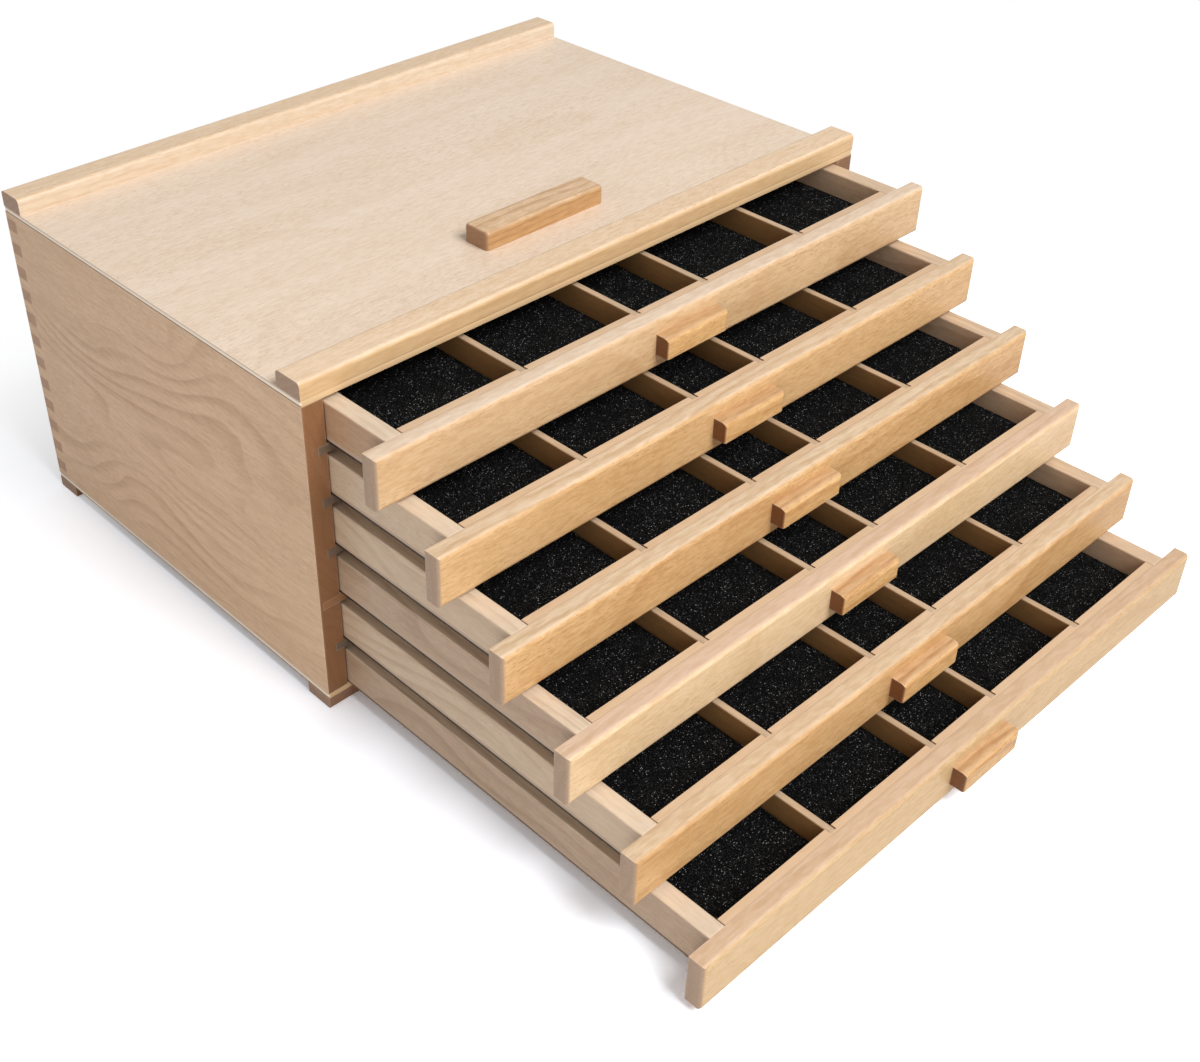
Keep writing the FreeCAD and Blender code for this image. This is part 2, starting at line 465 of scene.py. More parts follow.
    def end_colour(self, ring: Socket, pores: Socket) -> Socket:
        """Colour the end grain, where rings and pores are darker.

        Args:
            ring: The share of the ring's width.
            pores: How much of the pores shows.

        Returns:
            The colour.
        """
        graph, end = self.graph, self.given["End"]
        rings = graph.math("MULTIPLY", graph.ease(ring, *self.END_RING_GROWS), self.END_RING_SHARE)
        dark = graph.math("MAXIMUM", rings, graph.math("MULTIPLY", pores, self.END_PORE_SHARE))
        return graph.blend(dark, end, graph.blend(self.END_DEPTH, end, self.PORE_BROWN))

    def build(self) -> bpy.types.NodeTree:
        """Wire the group's outputs.

        Returns:
            The group, with Color, Roughness and Height outputs.
        """
        graph, end_share = self.graph, self.given["End Share"]
        ring, fibre, fleck, pores = self.ring(), self.mark(Mark.FIBRE), self.flecks(), self.mark(Mark.PORE)
        colour = graph.blend(end_share, self.face_colour(ring, fibre, fleck), self.end_colour(ring, pores))
        graph.feed(self.asked["Color"], colour)
        rough = graph.math("MULTIPLY_ADD", fibre, self.FIBRE_ROUGHNESS, self.ROUGHNESS)
        graph.feed(self.asked["Roughness"], graph.math("MULTIPLY_ADD", end_share, self.END_ROUGHNESS, rough))
        raised = graph.math("MULTIPLY", fibre, self.FIBRE_HEIGHT)
        face_height = graph.math("SUBTRACT", raised, graph.math("MULTIPLY", fleck, self.FLECK_SINK))
        end_height = graph.math("MULTIPLY", pores, -self.PORE_SINK)
        change = graph.math("SUBTRACT", end_height, face_height)
        graph.feed(self.asked["Height"], graph.math("MULTIPLY_ADD", change, end_share, face_height))
        return graph.tree


def eased_edges_group() -> bpy.types.NodeTree:
    """Make the group that finds the long edges of a board.

    On a board's surface one of the three distances to the sides of its box is nil.  The middle
    one of the three is the distance to the nearest edge.

    Returns:
        The group, with an Edge output that is 1 on an edge and 0 past the reach.
    """
    graph, given, asked = new_group(
        "eased edges",
        {"Place": (0.0, 0.0, 0.0), "Low": (0.0, 0.0, 0.0), "High": (1.0, 1.0, 1.0), "Reach": 0.001},
        {"Edge": "Float"})
    above = graph.vector("SUBTRACT", given["Place"], given["Low"])
    below = graph.vector("SUBTRACT", given["High"], given["Place"])
    first, second, third = graph.split(graph.vector("MINIMUM", above, below))
    smaller = graph.math("MINIMUM", first, second)
    larger = graph.math("MAXIMUM", first, second)
    middle = graph.math("MAXIMUM", smaller, graph.math("MINIMUM", larger, third))
    share = graph.math("DIVIDE", middle, given["Reach"])
    graph.feed(asked["Edge"], graph.ease(share, 0.0, 1.0, 1.0, 0.0))
    return graph.tree


@dataclass(frozen=True)
class PlyLayers:
    """The node group for the edge of thin beech plywood.

    On the panel's left and right edges a brown line runs under the top veneer and another along
    the foot, with the pale core between.  The front and back edges are one plain colour.  The
    levels are shares of the panel's thickness, and a face counts as an edge by how far its
    normal turns that way.
    """

    raggedness: float = 0.08
    rags_per_metre: Triple = (300.0, 300.0, 500.0)
    foot_fades_from: float = 0.75
    cap_level: Span = (0.7, 0.8)
    sideways_turn: Span = (0.3, 0.7)
    upward_turn: Span = (0.3, 0.6)

    def build(self) -> bpy.types.NodeTree:
        """Build the group.

        Returns:
            The group, with a Color output and an Edge Share output that is 1 on the panel's edge.
        """
        graph, given, asked = new_group(
            "ply layers",
            {"Place": (0.0, 0.0, 0.0), "Normal": (0.0, 0.0, 1.0), "Bottom": 0.0, "Thickness": 0.003,
             "Core": [0.8, 0.65, 0.45], "Line": [0.3, 0.18, 0.1], "Front": [0.8, 0.65, 0.45],
             "Foot": 0.3, "Cap": 0.5},
            {"Color": "Color", "Edge Share": "Float"})
        height = graph.split(given["Place"])[2]
        level = graph.math("DIVIDE", graph.math("SUBTRACT", height, given["Bottom"]), given["Thickness"])
        ragged = graph.drift(given["Place"], self.rags_per_metre)
        level = graph.math("MULTIPLY_ADD", ragged, self.raggedness, level)
        foot_fades = graph.math("MULTIPLY", given["Foot"], self.foot_fades_from)
        foot = graph.ease(level, foot_fades, given["Foot"], 1.0, 0.0)
        cap = graph.math("MULTIPLY", graph.ease(level, *self.cap_level), given["Cap"])
        banded = graph.blend(graph.math("MAXIMUM", foot, cap), given["Core"], given["Line"])
        facing = graph.split(given["Normal"])
        sideways = graph.ease(graph.math("ABSOLUTE", facing[0]), *self.sideways_turn)
        edge_share = graph.ease(graph.math("ABSOLUTE", facing[2]), *self.upward_turn, 1.0, 0.0)
        graph.feed(asked["Color"], graph.blend(sideways, given["Front"], banded))
        graph.feed(asked["Edge Share"], edge_share)
        return graph.tree


@dataclass(frozen=True)
class Glints:
    """One layer of painted glints in foam: how large, the share of cells without, and how rare a bright one
    is.
    """

    size: float
    without: float
    rarity: float


@dataclass(frozen=True)
class FoamCells:
    """The node group for black open-cell foam, with glints painted where cell walls would catch the light.

    Two layers of Voronoi cells each draw a lottery: a winning cell has a painted glint, a highlight
    mixed into the base colour, at its centre whose brightness is a power of a second draw, so faint
    ones are common and bright ones rare.  Slow noise makes them stronger in some spots than in
    others.  The hollows between the cells are painted darker, a painted shade.  The reaches are
    distances from a cell's centre, as shares of the cell size.
    """

    faint: Glints = Glints(size=1.0, without=0.6, rarity=2.0)
    bright: Glints = Glints(size=1.4, without=0.86, rarity=3.0)
    glint_reach: Span = (0.1, 0.55)
    clusters_per_metre: Triple = (60.0, 60.0, 60.0)
    cluster_span: Span = (0.35, 0.65)
    cluster_strength: Span = (0.75, 1.15)
    hollow_reach: Span = (0.25, 0.75)
    dust_per_metre: Triple = (1100.0, 1100.0, 1100.0)
    dust_span: Span = (0.5, 0.72)
    dusty: Colour = (0.007, 0.007, 0.0072)
    # painted shade: the colour of the cells' hollows, darker than the black foam
    hollow_shade: Colour = (0.002, 0.002, 0.002)
    warm_painted_glint: Colour = (0.75, 0.7, 0.64)
    roughness: float = 0.9
    dust_smoothness: float = 0.15

    def build(self) -> bpy.types.NodeTree:
        """Build the group.

        Returns:
            The group, with Color, Roughness and Height outputs.
        """
        graph, given, asked = new_group(
            "foam cells",
            {"Place": (0.0, 0.0, 0.0), "Black": [0.01, 0.01, 0.01], "Glint": [0.8, 0.8, 0.8],
             "Cell Size": 0.0009, "Faint Glints": 0.3, "Bright Glints": 0.6},
            {"Color": "Color", "Roughness": "Float", "Height": "Float"})
        place = given["Place"]
        clusters = graph.noise(place, self.clusters_per_metre, detail=1.0)
        cluster = graph.ease(clusters, *self.cluster_span, *self.cluster_strength)
        near, far = self.glint_reach
        glint = 0.0
        for layer, strength in ((self.faint, given["Faint Glints"]), (self.bright, given["Bright Glints"])):
            cells = graph.add("TexVoronoi", feature="F1", voronoi_dimensions="2D")
            graph.feed(cells.inputs["Vector"], place)
            graph.feed(cells.inputs["Scale"], graph.math("DIVIDE", 1.0 / layer.size, given["Cell Size"]))
            lottery, tint, bright = graph.split(cells.outputs["Color"])
            centre = graph.ease(cells.outputs["Distance"], near / layer.size, far / layer.size, 1.0, 0.0)
            won = graph.math("MULTIPLY", centre, graph.math("GREATER_THAN", lottery, layer.without))
            shine = graph.math("MULTIPLY", graph.math("POWER", bright, layer.rarity), strength)
            shine = graph.math("MULTIPLY", shine, cluster)
            glint = graph.math("MULTIPLY_ADD", won, shine, glint, clamp=True)
        wall = graph.ease(cells.outputs["Distance"], *self.hollow_reach)
        dust = graph.ease(graph.noise(place, self.dust_per_metre), *self.dust_span)
        # painted shade: the hollows between the cells are coloured darker than the black foam
        dark = graph.blend(wall, graph.blend(dust, given["Black"], self.dusty), self.hollow_shade)
        # painted highlight: the glints are light colours mixed into the foam's base colour
        shiny = graph.blend(tint, given["Glint"], self.warm_painted_glint)
        graph.feed(asked["Color"], graph.blend(glint, dark, shiny))
        rough = graph.math("MULTIPLY_ADD", dust, -self.dust_smoothness, self.roughness)
        graph.feed(asked["Roughness"], rough)
        graph.feed(asked["Height"], graph.math("SUBTRACT", dust, wall))
        return graph.tree


# --- finishes -----------------------------------------------------------------------------------

class Tone(Enum):
    """The tones of beech in the box, as the colours of the pale and of the late wood."""

    CREAM = (linear(238, 208, 168), linear(216, 180, 134))
    GOLD = (linear(223, 189, 146), linear(200, 158, 112))
    WHEAT = (linear(216, 184, 139), linear(196, 157, 109))
    HONEY = (linear(225, 185, 135), linear(198, 152, 98))
    AMBER = (linear(223, 181, 128), linear(194, 145, 91))
    SIDE = (linear(226, 190, 154), linear(182, 140, 103))
    # painted shade: a darker tan for the top drawer's sides, for the shade they sit in beside the case
    TAN = (linear(192, 157, 126), linear(164, 126, 94))
    ASH = (linear(212, 188, 161), linear(186, 158, 130))
    ROSE = (linear(193, 166, 140), linear(165, 136, 110))
    OLIVE = (linear(206, 174, 144), linear(178, 144, 114))
    # painted shade: the dividers' faces are toned dark brown for the shade they stand in above the black foam
    SHADED_DIVIDER = (linear(146, 108, 66), linear(110, 75, 39))
    TOP_VENEER = (linear(239, 220, 200), linear(219, 191, 162))
    DRAWER_VENEER = (linear(222, 192, 160), linear(196, 158, 122))
    RAIL = (linear(237, 212, 182), linear(214, 178, 138))
    BAR = (linear(229, 197, 161), linear(194, 154, 112))
    HANDLE = (linear(224, 182, 124), linear(188, 136, 80))
    STRIP = (linear(176, 140, 108), linear(140, 104, 76))

    @property
    def pale(self) -> Colour:
        """The pale wood's colour."""
        return self.value[0]

    @property
    def late(self) -> Colour:
        """The late wood's colour."""
        return self.value[1]


END_GREY = linear(176, 147, 122)


@dataclass(frozen=True)
class Groups:
    """The shared node groups."""

    beech: bpy.types.NodeTree
    edges: bpy.types.NodeTree
    ply: bpy.types.NodeTree
    foam: bpy.types.NodeTree


def new_material(name: str) -> tuple[bpy.types.Material, Graph, bpy.types.Node]:
    """Start a material with a Principled shader.

    Args:
        name: The material's name.

    Returns:
        The material, its graph and its Principled node.
    """
    material = bpy.data.materials.new(name)
    material.use_nodes = True
    graph = Graph(material.node_tree)
    return material, graph, material.node_tree.nodes["Principled BSDF"]


def paint(node: bpy.types.Object, material: bpy.types.Material) -> None:
    """Put one material in every slot of a piece.

    Args:
        node: The piece.
        material: The material.
    """
    slots = node.material_slots
    if not slots:
        node.data.materials.append(material)
    for slot in slots:
        slot.material = material


@dataclass(frozen=True)
class BeechFinish:
    """Clear-lacquered beech with its grain along one axis and its broad face towards another.

    The tone is the broad face's, and the edge colour is that of the long narrow faces.  A face
    counts as an end or as a long edge by how far its normal turns that way.  An arris is the
    line where two faces meet; as far as its reach its colour is painted light, partly wear: a
    pale arris is a painted highlight on the eased edge, a dark one a painted shade in the seam.
    """

    tone: Tone
    edge: Colour
    end: Colour
    grain: Axis
    face: Axis
    ring_width: float = 0.008
    tilt: float = 0.15
    swirl: float = 0.03
    figure: float = 0.3
    flecks: float = 0.4
    # painted highlight, partly wear: the pale line along a board's eased edges
    arris: Colour = linear(250, 228, 204)
    arris_share: float = 0.1
    arris_reach: float = 0.9 * MILLIMETRE
    arris_sink: float = 1.4
    end_turn: Span = (0.3, 0.85)
    edge_turn: Span = (0.5, 1.0)
    bump_strength: float = 0.35
    bump_height: float = 0.25 * MILLIMETRE
    specular: float = 0.4
    lacquer: float = 0.38
    lacquer_roughness: float = 0.26

    def dress(self, node: bpy.types.Object, groups: Groups, seed: float) -> None:
        """Give one board, or a set of like boards, this finish.

        Args:
            node: The CAD node to dress.
            groups: The shared node groups.
            seed: Which part of the tree the board comes from.
        """
        material, graph, surface = new_material(f"beech {node.name}")
        spot = graph.add("TexCoord")
        place = graph.split(spot.outputs["Object"])
        facing = graph.split(spot.outputs["Normal"])
        across = ({0, 1, 2} - {self.grain.value, self.face.value}).pop()
        board = graph.join(place[self.grain.value], place[across], place[self.face.value])
        end_share = graph.ease(graph.math("ABSOLUTE", facing[self.grain.value]), *self.end_turn)
        edge_share = graph.ease(graph.math("ABSOLUTE", facing[across]), *self.edge_turn)
        beech = graph.use(groups.beech, Place=board, Seed=seed, Pale=self.tone.pale, Late=self.tone.late,
                          Edge=self.edge, End=self.end, Ring_Width=self.ring_width, Tilt=self.tilt,
                          Swirl=self.swirl, Figure=self.figure, Flecks=self.flecks, Edge_Share=edge_share,
                          End_Share=end_share)
        low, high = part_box(node.name)
        edge = graph.use(groups.edges, Place=spot.outputs["Object"], Low=low, High=high,
                         Reach=self.arris_reach)
        # painted light along the edges, partly wear: a pale arris paints a highlight, a dark one paints shade
        arris_wear_and_light = graph.math("MULTIPLY", edge.outputs["Edge"], self.arris_share)
        colour = graph.blend(arris_wear_and_light, beech.outputs["Color"], self.arris)
        height = graph.math("MULTIPLY_ADD", edge.outputs["Edge"], -self.arris_sink, beech.outputs["Height"])
        graph.feed(surface.inputs["Base Color"], colour)
        graph.feed(surface.inputs["Roughness"], beech.outputs["Roughness"])
        graph.feed(surface.inputs["Normal"], graph.bump(height, self.bump_strength, self.bump_height))
        surface.inputs["Specular IOR Level"].default_value = self.specular
        surface.inputs["Coat Weight"].default_value = self.lacquer
        surface.inputs["Coat Roughness"].default_value = self.lacquer_roughness
        paint(node, material)


@dataclass(frozen=True)
class PlywoodFinish:
    """Thin beech-faced plywood whose edges show the plies.

    The foot is how high the brown line along the foot reaches, as a share of the thickness, and
    the cap is how strongly the one under the top veneer shows.
    """

    veneer: BeechFinish
    core: Colour
    line: Colour
    foot: float
    cap: float

    def dress(self, node: bpy.types.Object, groups: Groups, seed: float) -> None:
        """Give one panel this finish.

        Args:
            node: The CAD node to dress.
            groups: The shared node groups.
            seed: Which sheet of veneer the panel comes from.
        """
        self.veneer.dress(node, groups, seed)
        material = node.material_slots[0].material
        graph = Graph(material.node_tree)
        surface = material.node_tree.nodes["Principled BSDF"]
        face = surface.inputs["Base Color"].links[0].from_socket
        spot = graph.add("TexCoord")
        low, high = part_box(node.name)
        plies = graph.use(groups.ply, Place=spot.outputs["Object"], Normal=spot.outputs["Normal"],
                          Bottom=low.z, Thickness=high.z - low.z, Core=self.core, Line=self.line,
                          Front=self.veneer.edge, Foot=self.foot, Cap=self.cap)
        colour = graph.blend(plies.outputs["Edge Share"], face, plies.outputs["Color"])
        graph.feed(surface.inputs["Base Color"], colour)


WoodFinish = BeechFinish | PlywoodFinish


@dataclass(frozen=True)
class FoamFinish:
    """Black open-cell foam, with painted glints in its colour."""

    black: Colour = (0.003, 0.003, 0.0031)
    glint: Colour = (0.85, 0.9, 0.95)
    cell_size: float = 0.5 * MILLIMETRE
    # strengths of the painted glints
    faint_glints: float = 0.11
    bright_glints: float = 0.85
    bump_strength: float = 0.6
    bump_height: float = 0.4 * MILLIMETRE
    specular: float = 0.06

    def material(self, groups: Groups) -> bpy.types.Material:
        """Make the foam's material.

        Args:
            groups: The shared node groups.

        Returns:
            The material.
        """
        material, graph, surface = new_material("foam")
        spot = graph.add("TexCoord")
        cells = graph.use(groups.foam, Place=spot.outputs["Object"], Black=self.black, Glint=self.glint,
                          Cell_Size=self.cell_size, Faint_Glints=self.faint_glints,
                          Bright_Glints=self.bright_glints)
        normal = graph.bump(cells.outputs["Height"], self.bump_strength, self.bump_height)
        graph.feed(surface.inputs["Base Color"], cells.outputs["Color"])
        graph.feed(surface.inputs["Roughness"], cells.outputs["Roughness"])
        graph.feed(surface.inputs["Normal"], normal)
        surface.inputs["Specular IOR Level"].default_value = self.specular
        return material


# --- meshes -------------------------------------------------------------------------------------

def grid_lines(low: float, high: float, radius: float, steps: int, cell: float) -> np.ndarray:
    """Place the grid lines across one side of a rounded box.

    Within the radius of an edge the lines stand at low + r (1 - tan a) for even steps of the
    angle a from 45 degrees to 0, and between them they are evenly spaced.

    Args:
        low: Where the side starts.
        high: Where it ends.
        radius: The edge's radius.
        steps: How many steps half of an edge's rounding takes.
        cell: About how wide the cells between are.

    Returns:
        The lines' places, in order.
    """
    bend = radius * (1 - np.tan(np.linspace(math.pi / 4, 0, steps + 1)))
    count = max(1, round((high - low - 2 * radius) / cell))
    flat = np.linspace(low + radius, high - radius, count + 1)
    return np.concatenate([low + bend[:-1], flat, (high - bend[:-1])[::-1]])


def box_shell(lines: list[np.ndarray]) -> tuple[np.ndarray, np.ndarray]:
    """Cover a box with grids that follow the lines of each axis, closed along all its edges.

    Args:
        lines: The grid lines' places along X, Y and Z.

    Returns:
        The points, and the quads as rows of four point numbers, facing outwards.
    """
    points, quads, total = [], [], 0
    for normal in range(3):
        first, second = (normal + 1) % 3, (normal + 2) % 3
        one, two = np.meshgrid(lines[first], lines[second], indexing="ij")
        rows, columns = one.shape
        index = np.arange(rows * columns).reshape(rows, columns)
        corners = [index[:-1, :-1], index[1:, :-1], index[1:, 1:], index[:-1, 1:]]
        cells = np.stack([corner.ravel() for corner in corners], axis=1)
        for side in (0, -1):
            sheet = np.empty((rows * columns, 3))
            sheet[:, normal] = lines[normal][side]
            sheet[:, first] = one.ravel()
            sheet[:, second] = two.ravel()
            points.append(sheet)
            quads.append((cells if side else cells[:, ::-1]) + total)
            total += len(sheet)
    merged, where = np.unique(np.round(np.concatenate(points), decimals=7), axis=0, return_inverse=True)
    return merged, where.ravel()[np.concatenate(quads)]


def new_piece(name: str, points: np.ndarray, quads: np.ndarray,
              material: bpy.types.Material) -> bpy.types.Object:
    """Make a smooth-shaded mesh object at the origin.

    Args:
        name: The piece's name.
        points: Its points, in metres in the case's frame.
        quads: Its faces as rows of four point numbers.
        material: Its material.

    Returns:
        The new object.
    """
    mesh = bpy.data.meshes.new(name)
    mesh.from_pydata(points.tolist(), [], quads.tolist())
    mesh.shade_smooth()
    mesh.materials.append(material)
    piece = bpy.data.objects.new(name, mesh)
    bpy.context.scene.collection.objects.link(piece)
    return piece


@dataclass(frozen=True)
class FoamPad:
    """A loose die-cut pad of foam that lies in one compartment of a drawer."""

    name: str
    low: Triple
    high: Triple
    seed: int
    edge_round: float = 0.9 * MILLIMETRE
    round_steps: int = 2
    cell: float = 3.5 * MILLIMETRE
    press: float = 0.5 * MILLIMETRE
    press_reach: float = 3.0 * MILLIMETRE
    unevenness: float = 0.3 * MILLIMETRE
    waves: int = 5
    shortest_wave: float = 25 * MILLIMETRE
    longest_wave: float = 90 * MILLIMETRE

    def surface(self) -> tuple[np.ndarray, np.ndarray]:
        """Work out the pad's skin.

        A point q of the plain box goes to c + r (q - c) / |q - c|, where c is q brought inside
        the box by the radius r.  The top then sinks by a press that fades with the distance
        from the cut edge, and by a sum of slow waves with drawn lengths and phases.

        Returns:
            The points and the quads.
        """
        low, high = np.array(self.low), np.array(self.high)
        lines = [grid_lines(a, b, self.edge_round, self.round_steps, self.cell) for a, b in zip(low, high)]
        points, quads = box_shell(lines)
        inner = np.clip(points, low + self.edge_round, high - self.edge_round)
        out = points - inner
        points = inner + self.edge_round * out / np.linalg.norm(out, axis=1, keepdims=True)
        draws = np.random.default_rng(self.seed)
        turn = draws.uniform(0, math.tau, self.waves)
        length = draws.uniform(self.shortest_wave, self.longest_wave, self.waves)
        phase = draws.uniform(0, math.tau, self.waves)
        run = points[:, :1] * np.cos(turn) + points[:, 1:2] * np.sin(turn)
        swell = np.sin(math.tau * run / length + phase).mean(axis=1)
        edge = np.minimum(points[:, :2] - low[:2], high[:2] - points[:, :2]).min(axis=1)
        sunk = self.press * np.exp(-edge / self.press_reach) + self.unevenness * (1 - swell) / 2
        share = (points[:, 2] - low[2]) / (high[2] - low[2])
        points[:, 2] -= sunk * share
        return points, quads

    def cut(self, foam: bpy.types.Material) -> bpy.types.Object:
        """Make the pad of the given foam."""
        return new_piece(self.name, *self.surface(), foam)


# --- the box ------------------------------------------------------------------------------------

@dataclass
class Case:
    """The fixed part of the box: sides, back, panels, shelf, strips, rails, handle and feet."""

    groups: Groups

    def finishes(self) -> dict[str, tuple[WoodFinish, float]]:
        """Choose the finish and the seed of every board of the case.

        Returns:
            Finish and seed by node name.
        """
        side = BeechFinish(Tone.SIDE, edge=linear(224, 188, 156), end=linear(143, 98, 62), grain=Axis.DEPTH,
                           face=Axis.WIDTH, ring_width=0.006, tilt=0.4, swirl=0.07, figure=0.54, flecks=0.4)
        back = BeechFinish(Tone.SIDE, edge=side.edge, end=linear(186, 146, 116), grain=Axis.WIDTH,
                           face=Axis.DEPTH, ring_width=0.010, tilt=0.3, swirl=0.07, figure=0.5, flecks=0.3)
        rear_rail = BeechFinish(Tone.RAIL, edge=linear(229, 211, 188), end=linear(172, 140, 116),
                                grain=Axis.WIDTH, face=Axis.HEIGHT, ring_width=0.005, tilt=0.5, figure=0.5,
                                flecks=0.7)
        front_rail = replace(rear_rail, edge=linear(222, 187, 142))
        foot = BeechFinish(Tone.SIDE, edge=linear(150, 110, 84), end=linear(160, 126, 102), grain=Axis.WIDTH,
                           face=Axis.HEIGHT, flecks=0.3)
        veneer = BeechFinish(Tone.TOP_VENEER, edge=front_rail.edge, end=END_GREY, grain=Axis.WIDTH,
                             face=Axis.HEIGHT, ring_width=0.006, tilt=0.12, swirl=0.02, figure=0.28,
                             flecks=0.7)
        ply = PlywoodFinish(veneer, core=linear(250, 232, 212), line=linear(150, 118, 90), foot=0.28, cap=0.5)
        bar = BeechFinish(Tone.BAR, edge=linear(206, 164, 114), end=linear(162, 122, 88), grain=Axis.WIDTH,
                          face=Axis.HEIGHT, ring_width=0.004, tilt=0.5, figure=0.7, flecks=0.9)
        strip = BeechFinish(Tone.STRIP, edge=Tone.STRIP.pale, end=linear(118, 98, 80), grain=Axis.DEPTH,
                            face=Axis.HEIGHT)
        shelf = BeechFinish(Tone.SIDE, edge=linear(158, 112, 76), end=END_GREY, grain=Axis.WIDTH,
                            face=Axis.HEIGHT)
        return {
            "left_side": (side, 0.31), "right_side": (side, 1.63), "back_panel": (back, 2.2),
            "top_panel": (ply, 3.4), "bottom_panel": (ply, 4.1), "mid_shelf": (shelf, 5.2),
            "runners": (strip, 6.3), "front_top_rail": (front_rail, 7.7), "rear_top_rail": (rear_rail, 8.9),
            "top_handle": (bar, 9.4), "feet": (foot, 10.8),
        }

    def dress(self) -> None:
        """Put the finishes on the case's nodes."""
        for name, (finish, seed) in self.finishes().items():
            finish.dress(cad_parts[name], self.groups, seed)
            log.info("%s: %s", name, type(finish).__name__)


@dataclass(frozen=True)
class DrawerTones:
    """What sets one drawer's wood apart from the next one's, with the painted sheen on its front's top and
    the painted shadow line along its foot.
    """

    front: Tone
    side: Tone
    # partly the paler edge grain, partly a painted sheen: the pale colour of the front's top
    front_edge_and_sheen: Colour
    # near black: partly the ply's dark edge, partly painted shadow of the gap under the drawer
    foot_line_and_gap_shadow: Colour = linear(34, 22, 15)


@dataclass
class Drawer:
    """One drawer: front, handle, sides, slotted end boards, bottom, dividers and foam pads."""

    number: int
    tones: DrawerTones
    groups: Groups
    foam: bpy.types.Material
    seed_step: float = 1.37
    board_seed_step: float = 0.61
    pad_seed_step: int = 10

    @property
    def body(self) -> str:
        """The drawer's body, which its pads ride on."""
        return f"drawer_{self.number}"

    def finishes(self) -> dict[str, WoodFinish]:
        """Choose the finish of every board of the drawer.

        Returns:
            Finish by the node name's last part.
        """
        tones = self.tones
        front = BeechFinish(tones.front, edge=tones.front_edge_and_sheen, end=END_GREY, grain=Axis.WIDTH,
                            face=Axis.DEPTH, ring_width=0.007, swirl=0.03, figure=0.5, flecks=0.9)
        handle = BeechFinish(Tone.HANDLE, edge=linear(210, 172, 128), end=linear(114, 66, 28),
                             grain=Axis.WIDTH, face=Axis.DEPTH, ring_width=0.005, tilt=0.4, figure=0.6,
                             flecks=0.8)
        left = BeechFinish(tones.side, edge=linear(224, 203, 178), end=END_GREY, grain=Axis.DEPTH,
                           face=Axis.WIDTH, ring_width=0.005, tilt=0.3, swirl=0.04, figure=0.6, flecks=0.5)
        right = replace(left, tone=Tone.OLIVE, edge=linear(216, 189, 159), figure=0.5)
        # painted shade, partly a dark joint: a dark arris line along the end boards' edges, where they meet
        # the front
        end_board = BeechFinish(tones.front, edge=linear(216, 185, 152), end=linear(170, 126, 88),
                                grain=Axis.WIDTH, face=Axis.DEPTH, arris=linear(124, 84, 58),
                                arris_share=0.5, arris_reach=0.6 * MILLIMETRE)
        veneer = BeechFinish(Tone.DRAWER_VENEER, edge=linear(231, 211, 190), end=END_GREY, grain=Axis.WIDTH,
                             face=Axis.HEIGHT, figure=0.2)
        # the bottom's foot line paints the shadow of the gap below the drawer, partly the ply's dark edge
        bottom = PlywoodFinish(veneer, core=linear(186, 160, 136), line=tones.foot_line_and_gap_shadow, foot=0.5, cap=0.0)
        # painted shade: the dark tone of the dividers' faces
        divider = BeechFinish(Tone.SHADED_DIVIDER, edge=linear(199, 173, 144), end=linear(176, 132, 94),
                              grain=Axis.DEPTH, face=Axis.WIDTH, figure=0.25, flecks=0.3)
        return {
            "front": front, "handle": handle, "left_side": left, "right_side": right,
            "end_boards": end_board, "bottom": bottom, "dividers": divider,
        }

    def dress(self) -> None:
        """Put the finishes on the drawer's nodes."""
        for place, (part, finish) in enumerate(self.finishes().items()):
            seed = self.seed_step * self.number + self.board_seed_step * place
            name = f"{self.body}_{part}"
            finish.dress(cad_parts[name], self.groups, seed)
            log.info("%s: %s", name, type(finish).__name__)

    def lay_foam(self) -> None:
        """Lay one pad in each compartment, in place of the plain CAD pads.

        The compartments are read from the CAD pads: their left and right walls are the
        distinct widths in the node's points.
        """
        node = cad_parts[f"{self.body}_foam_pads"]
        points = np.empty(len(node.data.vertices) * 3)
        node.data.vertices.foreach_get("co", points)
        walls = np.unique(np.round(points.reshape(-1, 3)[:, 0], decimals=5))
        low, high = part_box(node.name)
        for place, (left, right) in enumerate(zip(walls[::2], walls[1::2]), 1):
            pad = FoamPad(f"{self.body}_foam_{place}", (left, low.y, low.z), (right, high.y, high.z),
                          seed=self.pad_seed_step * self.number + place)
            piece = pad.cut(self.foam)
            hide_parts(node.name)
            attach(piece, self.body)
            log.info("%s: %d faces", pad.name, len(piece.data.polygons))

    def build(self) -> None:
        """Dress the boards and lay the foam."""
        self.dress()
        self.lay_foam()


# --- studio -------------------------------------------------------------------------------------

@dataclass(frozen=True)
class Softbox:
    """A square lamp that faces the box from one side."""

    name: str
    power: float
    size: float
    distance: float
    direction: Triple

    def hang(self) -> None:
        """Hang the lamp."""
        lamp = bpy.data.lights.new(self.name, "AREA")
        lamp.energy = self.power
        lamp.size = self.size
        towards = Vector(self.direction).normalized()
        hung = bpy.data.objects.new(self.name, lamp)
        hung.location = towards * self.distance
        hung.rotation_euler = towards.to_track_quat("Z", "Y").to_euler()
        bpy.context.scene.collection.objects.link(hung)


